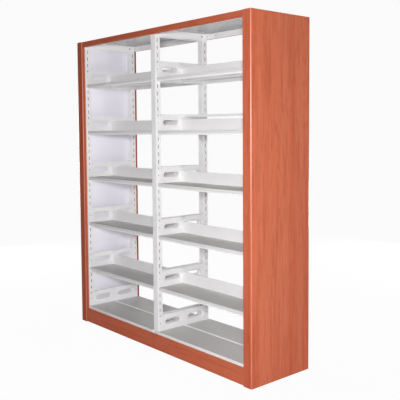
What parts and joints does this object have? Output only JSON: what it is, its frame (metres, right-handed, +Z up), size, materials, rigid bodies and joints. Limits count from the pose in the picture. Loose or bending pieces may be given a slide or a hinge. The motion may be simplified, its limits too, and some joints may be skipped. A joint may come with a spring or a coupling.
{
  "type": "double sided library shelving",
  "caption": "Free-standing double sided steel library shelving with lift-off shelves on slotted uprights, and wood-grain end panels, fascias and plinths.",
  "frame": {"origin": "on the floor under the middle of the unit", "axes": "+X along the bays, +Y towards the rear row of shelves, +Z up; the two sides are alike but for the stop bar"},
  "size_m": [1.913, 0.515, 2.2],
  "materials": {
    "board": "red-brown wood-grain laminate, satin",
    "frame_steel": "white-grey powder coat, semi-gloss",
    "shelf_steel": "white-grey powder coat, semi-gloss",
    "liner": "pale lilac-white, satin",
    "fastener": "dark zinc plate",
    "foot": "zinc plate",
    "dowel": "plain beech"
  },
  "bodies": {
    "root": {"upright_left_front": "frame_steel", "upright_left_rear": "frame_steel", "upright_middle_front": "frame_steel", "upright_middle_rear": "frame_steel", "upright_right_front": "frame_steel", "upright_right_rear": "frame_steel", "head_channels": "frame_steel", "foot_channels": "frame_steel", "levelling_feet": "foot", "tie_bolts": "fastener", "end_panel_right": "board", "end_panel_left": "board", "end_liner_right": "liner", "end_liner_left": "liner", "plinth_front": "board", "fascia_front": "board", "plinth_rear": "board", "fascia_rear": "board", "wood_screws": "fastener", "dowels": "dowel", "top_deck_left": "frame_steel", "base_deck_left_front": "shelf_steel", "base_deck_left_rear": "shelf_steel", "brackets_left_base": "frame_steel", "brackets_left_1": "frame_steel", "brackets_left_2": "frame_steel", "brackets_left_3": "frame_steel", "brackets_left_4": "frame_steel", "brackets_left_5": "frame_steel", "top_deck_right": "frame_steel", "base_deck_right_front": "shelf_steel", "base_deck_right_rear": "shelf_steel", "brackets_right_base": "frame_steel", "brackets_right_1": "frame_steel", "brackets_right_2": "frame_steel", "brackets_right_3": "frame_steel", "brackets_right_4": "frame_steel", "brackets_right_5": "frame_steel", "stop_bar": "frame_steel"},
    "shelf_left_front_1": {"shelf_left_front_1": "shelf_steel"},
    "shelf_left_rear_1": {"shelf_left_rear_1": "shelf_steel"},
    "shelf_left_front_2": {"shelf_left_front_2": "shelf_steel"},
    "shelf_left_rear_2": {"shelf_left_rear_2": "shelf_steel"},
    "shelf_left_front_3": {"shelf_left_front_3": "shelf_steel"},
    "shelf_left_rear_3": {"shelf_left_rear_3": "shelf_steel"},
    "shelf_left_front_4": {"shelf_left_front_4": "shelf_steel"},
    "shelf_left_rear_4": {"shelf_left_rear_4": "shelf_steel"},
    "shelf_left_front_5": {"shelf_left_front_5": "shelf_steel"},
    "shelf_left_rear_5": {"shelf_left_rear_5": "shelf_steel"},
    "shelf_right_front_1": {"shelf_right_front_1": "shelf_steel"},
    "shelf_right_rear_1": {"shelf_right_rear_1": "shelf_steel"},
    "shelf_right_front_2": {"shelf_right_front_2": "shelf_steel"},
    "shelf_right_rear_2": {"shelf_right_rear_2": "shelf_steel"},
    "shelf_right_front_3": {"shelf_right_front_3": "shelf_steel"},
    "shelf_right_rear_3": {"shelf_right_rear_3": "shelf_steel"},
    "shelf_right_front_4": {"shelf_right_front_4": "shelf_steel"},
    "shelf_right_rear_4": {"shelf_right_rear_4": "shelf_steel"},
    "shelf_right_front_5": {"shelf_right_front_5": "shelf_steel"},
    "shelf_right_rear_5": {"shelf_right_rear_5": "shelf_steel"}
  },
  "joints": [
    {"name": "lift_shelf_left_front_1", "type": "slide", "parent": "root", "child": "shelf_left_front_1", "axis": [0, 0, 1], "range_m": [0, 0.15]},
    {"name": "lift_shelf_left_rear_1", "type": "slide", "parent": "root", "child": "shelf_left_rear_1", "axis": [0, 0, 1], "range_m": [0, 0.15]},
    {"name": "lift_shelf_left_front_2", "type": "slide", "parent": "root", "child": "shelf_left_front_2", "axis": [0, 0, 1], "range_m": [0, 0.15]},
    {"name": "lift_shelf_left_rear_2", "type": "slide", "parent": "root", "child": "shelf_left_rear_2", "axis": [0, 0, 1], "range_m": [0, 0.15]},
    {"name": "lift_shelf_left_front_3", "type": "slide", "parent": "root", "child": "shelf_left_front_3", "axis": [0, 0, 1], "range_m": [0, 0.15]},
    {"name": "lift_shelf_left_rear_3", "type": "slide", "parent": "root", "child": "shelf_left_rear_3", "axis": [0, 0, 1], "range_m": [0, 0.15]},
    {"name": "lift_shelf_left_front_4", "type": "slide", "parent": "root", "child": "shelf_left_front_4", "axis": [0, 0, 1], "range_m": [0, 0.15]},
    {"name": "lift_shelf_left_rear_4", "type": "slide", "parent": "root", "child": "shelf_left_rear_4", "axis": [0, 0, 1], "range_m": [0, 0.15]},
    {"name": "lift_shelf_left_front_5", "type": "slide", "parent": "root", "child": "shelf_left_front_5", "axis": [0, 0, 1], "range_m": [0, 0.15]},
    {"name": "lift_shelf_left_rear_5", "type": "slide", "parent": "root", "child": "shelf_left_rear_5", "axis": [0, 0, 1], "range_m": [0, 0.15]},
    {"name": "lift_shelf_right_front_1", "type": "slide", "parent": "root", "child": "shelf_right_front_1", "axis": [0, 0, 1], "range_m": [0, 0.15]},
    {"name": "lift_shelf_right_rear_1", "type": "slide", "parent": "root", "child": "shelf_right_rear_1", "axis": [0, 0, 1], "range_m": [0, 0.15]},
    {"name": "lift_shelf_right_front_2", "type": "slide", "parent": "root", "child": "shelf_right_front_2", "axis": [0, 0, 1], "range_m": [0, 0.15]},
    {"name": "lift_shelf_right_rear_2", "type": "slide", "parent": "root", "child": "shelf_right_rear_2", "axis": [0, 0, 1], "range_m": [0, 0.15]},
    {"name": "lift_shelf_right_front_3", "type": "slide", "parent": "root", "child": "shelf_right_front_3", "axis": [0, 0, 1], "range_m": [0, 0.15]},
    {"name": "lift_shelf_right_rear_3", "type": "slide", "parent": "root", "child": "shelf_right_rear_3", "axis": [0, 0, 1], "range_m": [0, 0.15]},
    {"name": "lift_shelf_right_front_4", "type": "slide", "parent": "root", "child": "shelf_right_front_4", "axis": [0, 0, 1], "range_m": [0, 0.15]},
    {"name": "lift_shelf_right_rear_4", "type": "slide", "parent": "root", "child": "shelf_right_rear_4", "axis": [0, 0, 1], "range_m": [0, 0.15]},
    {"name": "lift_shelf_right_front_5", "type": "slide", "parent": "root", "child": "shelf_right_front_5", "axis": [0, 0, 1], "range_m": [0, 0.15]},
    {"name": "lift_shelf_right_rear_5", "type": "slide", "parent": "root", "child": "shelf_right_rear_5", "axis": [0, 0, 1], "range_m": [0, 0.15]}
  ]
}
